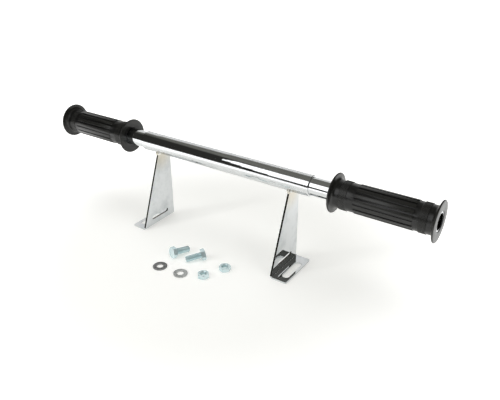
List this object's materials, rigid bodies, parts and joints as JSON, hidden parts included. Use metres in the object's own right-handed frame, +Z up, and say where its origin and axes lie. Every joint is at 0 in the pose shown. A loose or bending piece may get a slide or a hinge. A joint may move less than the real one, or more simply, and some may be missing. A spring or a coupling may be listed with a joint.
{
  "type": "bolt-down grip bar",
  "caption": "Short chromed bar with flanged, ribbed rubber grips at its ends, standing on folded legs with slotted feet, with its loose bolts, washers and nuts beside it.",
  "frame": {"origin": "on the ground, at the centre of the footprint of the bar and its loose fasteners", "axes": "+X along the bar to its right-hand grip, +Y from the front, where the fasteners lie, to the back, +Z up"},
  "size_m": [0.545, 0.1326, 0.1341],
  "materials": {
    "chrome": "mirror-bright chrome plate",
    "weld_chrome": "chrome plate over a rippled weld bead",
    "grip_rubber": "satin black moulded rubber",
    "bright_zinc": "bright bluish zinc plate",
    "washer_zinc": "dull zinc plate"
  },
  "bodies": {
    "bar": {"cross_tube": "chrome", "centre_sleeve": "chrome", "leg_left": "chrome", "leg_right": "chrome", "weld_left": "weld_chrome", "weld_right": "weld_chrome", "grip_left": "grip_rubber", "grip_right": "grip_rubber"},
    "bolt_left": {"bolt_left": "bright_zinc"},
    "bolt_right": {"bolt_right": "bright_zinc"},
    "washer_left": {"washer_left": "washer_zinc"},
    "washer_right": {"washer_right": "washer_zinc"},
    "nut_left": {"nut_left": "bright_zinc"},
    "nut_right": {"nut_right": "bright_zinc"}
  },
  "joints": [
    {"name": "lift_bolt_left", "type": "slide", "parent": "bar", "child": "bolt_left", "axis": [0, 0, 1], "range_m": [0, 0.15]},
    {"name": "lift_bolt_right", "type": "slide", "parent": "bar", "child": "bolt_right", "axis": [0, 0, 1], "range_m": [0, 0.15]},
    {"name": "lift_washer_left", "type": "slide", "parent": "bar", "child": "washer_left", "axis": [0, 0, 1], "range_m": [0, 0.15]},
    {"name": "lift_washer_right", "type": "slide", "parent": "bar", "child": "washer_right", "axis": [0, 0, 1], "range_m": [0, 0.15]},
    {"name": "lift_nut_left", "type": "slide", "parent": "bar", "child": "nut_left", "axis": [0, 0, 1], "range_m": [0, 0.15]},
    {"name": "lift_nut_right", "type": "slide", "parent": "bar", "child": "nut_right", "axis": [0, 0, 1], "range_m": [0, 0.15]}
  ]
}
